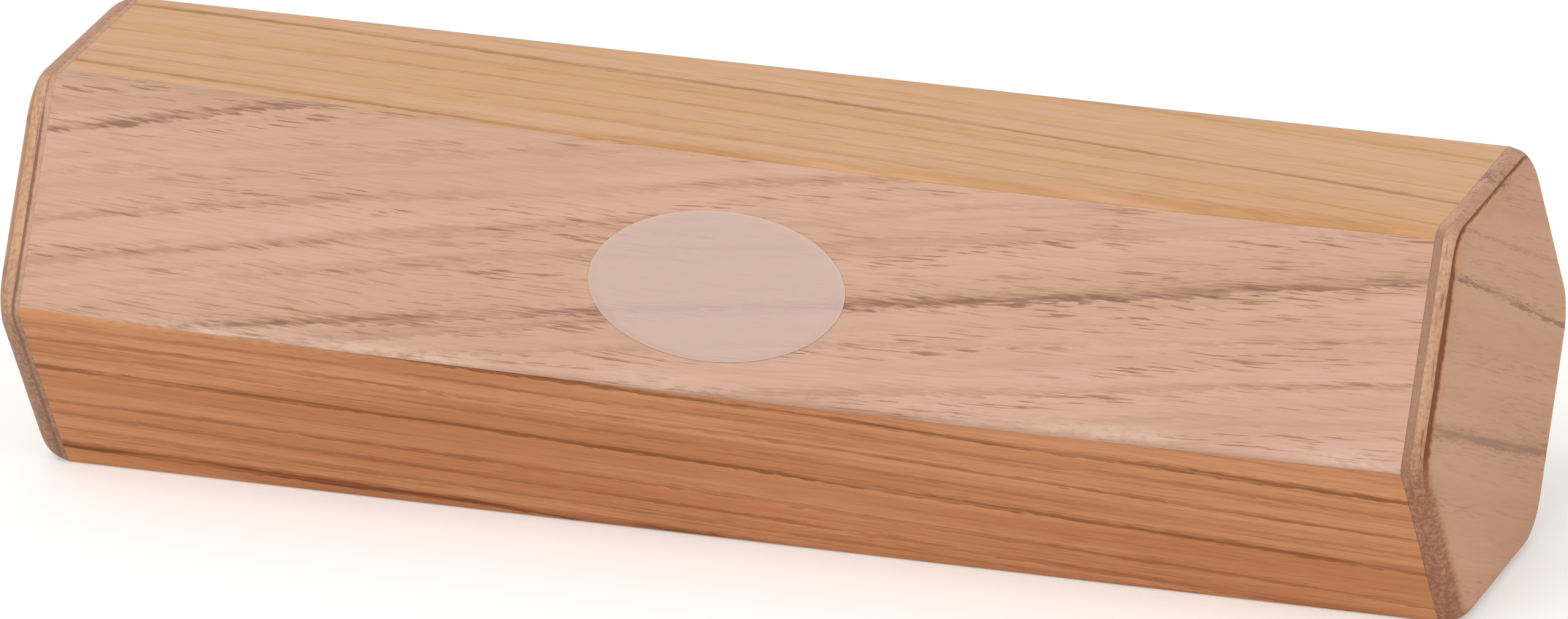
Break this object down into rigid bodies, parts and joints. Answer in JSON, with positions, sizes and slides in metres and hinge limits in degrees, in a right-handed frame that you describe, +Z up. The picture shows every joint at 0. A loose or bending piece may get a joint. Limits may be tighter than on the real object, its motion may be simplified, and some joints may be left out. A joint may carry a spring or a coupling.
{
  "type": "ganza shaker",
  "caption": "Hexagonal wooden tube shaker of mitred staves with plywood end caps, a blank oval label and loose steel shot sealed inside.",
  "frame": {"origin": "on the bottom stave's outer face, under the middle of the shaker", "axes": "+X along the shaker, +Z up from the face that it lies on, -Y towards the labelled side"},
  "size_m": [0.21, 0.0666, 0.058],
  "materials": {
    "stave_top_wood": "sanded and oiled, satin",
    "stave_upper_front_wood": "sanded and oiled, satin",
    "stave_lower_front_wood": "sanded and oiled, satin",
    "stave_bottom_wood": "sanded and oiled, satin",
    "stave_lower_back_wood": "sanded and oiled, satin",
    "stave_upper_back_wood": "sanded and oiled, satin",
    "inner_ply_wood": "sanded plywood, matte",
    "core_ply_wood": "sanded plywood, matte",
    "outer_ply_wood": "sanded plywood, matte",
    "label_film": "frosted film",
    "shot_steel": "polished"
  },
  "bodies": {
    "shell": {"stave_top": "stave_top_wood", "stave_upper_front": "stave_upper_front_wood", "stave_lower_front": "stave_lower_front_wood", "stave_bottom": "stave_bottom_wood", "stave_lower_back": "stave_lower_back_wood", "stave_upper_back": "stave_upper_back_wood", "left_cap_inner_ply": "inner_ply_wood", "left_cap_core_ply": "core_ply_wood", "left_cap_outer_ply": "outer_ply_wood", "right_cap_inner_ply": "inner_ply_wood", "right_cap_core_ply": "core_ply_wood", "right_cap_outer_ply": "outer_ply_wood", "oval_label": "label_film"},
    "shot_floor_1": {"shot_floor_1": "shot_steel"},
    "shot_floor_2": {"shot_floor_2": "shot_steel"},
    "shot_floor_3": {"shot_floor_3": "shot_steel"},
    "shot_floor_4": {"shot_floor_4": "shot_steel"},
    "shot_floor_5": {"shot_floor_5": "shot_steel"},
    "shot_middle_1": {"shot_middle_1": "shot_steel"},
    "shot_middle_2": {"shot_middle_2": "shot_steel"},
    "shot_middle_3": {"shot_middle_3": "shot_steel"},
    "shot_middle_4": {"shot_middle_4": "shot_steel"},
    "shot_middle_5": {"shot_middle_5": "shot_steel"},
    "shot_upper_1": {"shot_upper_1": "shot_steel"},
    "shot_upper_2": {"shot_upper_2": "shot_steel"},
    "shot_upper_3": {"shot_upper_3": "shot_steel"},
    "shot_upper_4": {"shot_upper_4": "shot_steel"},
    "shot_upper_5": {"shot_upper_5": "shot_steel"}
  },
  "joints": [
    {"name": "shot_floor_1_roll", "type": "slide", "parent": "shell", "child": "shot_floor_1", "axis": [1, 0, 0], "range_m": [-0.062, 0.062]},
    {"name": "shot_floor_2_roll", "type": "slide", "parent": "shell", "child": "shot_floor_2", "axis": [1, 0, 0], "range_m": [-0.064, 0.064]},
    {"name": "shot_floor_3_roll", "type": "slide", "parent": "shell", "child": "shot_floor_3", "axis": [1, 0, 0], "range_m": [-0.062, 0.062]},
    {"name": "shot_floor_4_roll", "type": "slide", "parent": "shell", "child": "shot_floor_4", "axis": [1, 0, 0], "range_m": [-0.064, 0.064]},
    {"name": "shot_floor_5_roll", "type": "slide", "parent": "shell", "child": "shot_floor_5", "axis": [1, 0, 0], "range_m": [-0.062, 0.062]},
    {"name": "shot_middle_1_swing", "type": "slide", "parent": "shell", "child": "shot_middle_1", "axis": [0, 1, 0], "range_m": [-0.015, 0.015]},
    {"name": "shot_middle_2_swing", "type": "slide", "parent": "shell", "child": "shot_middle_2", "axis": [0, 1, 0], "range_m": [-0.015, 0.015]},
    {"name": "shot_middle_3_swing", "type": "slide", "parent": "shell", "child": "shot_middle_3", "axis": [0, 1, 0], "range_m": [-0.015, 0.015]},
    {"name": "shot_middle_4_swing", "type": "slide", "parent": "shell", "child": "shot_middle_4", "axis": [0, 1, 0], "range_m": [-0.015, 0.015]},
    {"name": "shot_middle_5_swing", "type": "slide", "parent": "shell", "child": "shot_middle_5", "axis": [0, 1, 0], "range_m": [-0.015, 0.015]},
    {"name": "shot_upper_1_hop", "type": "slide", "parent": "shot_middle_1", "child": "shot_upper_1", "axis": [0, 0, 1], "range_m": [0, 0.028]},
    {"name": "shot_upper_2_hop", "type": "slide", "parent": "shot_middle_2", "child": "shot_upper_2", "axis": [0, 0, 1], "range_m": [0, 0.028]},
    {"name": "shot_upper_3_hop", "type": "slide", "parent": "shot_middle_3", "child": "shot_upper_3", "axis": [0, 0, 1], "range_m": [0, 0.028]},
    {"name": "shot_upper_4_hop", "type": "slide", "parent": "shot_middle_4", "child": "shot_upper_4", "axis": [0, 0, 1], "range_m": [0, 0.028]},
    {"name": "shot_upper_5_hop", "type": "slide", "parent": "shot_middle_5", "child": "shot_upper_5", "axis": [0, 0, 1], "range_m": [0, 0.028]}
  ]
}
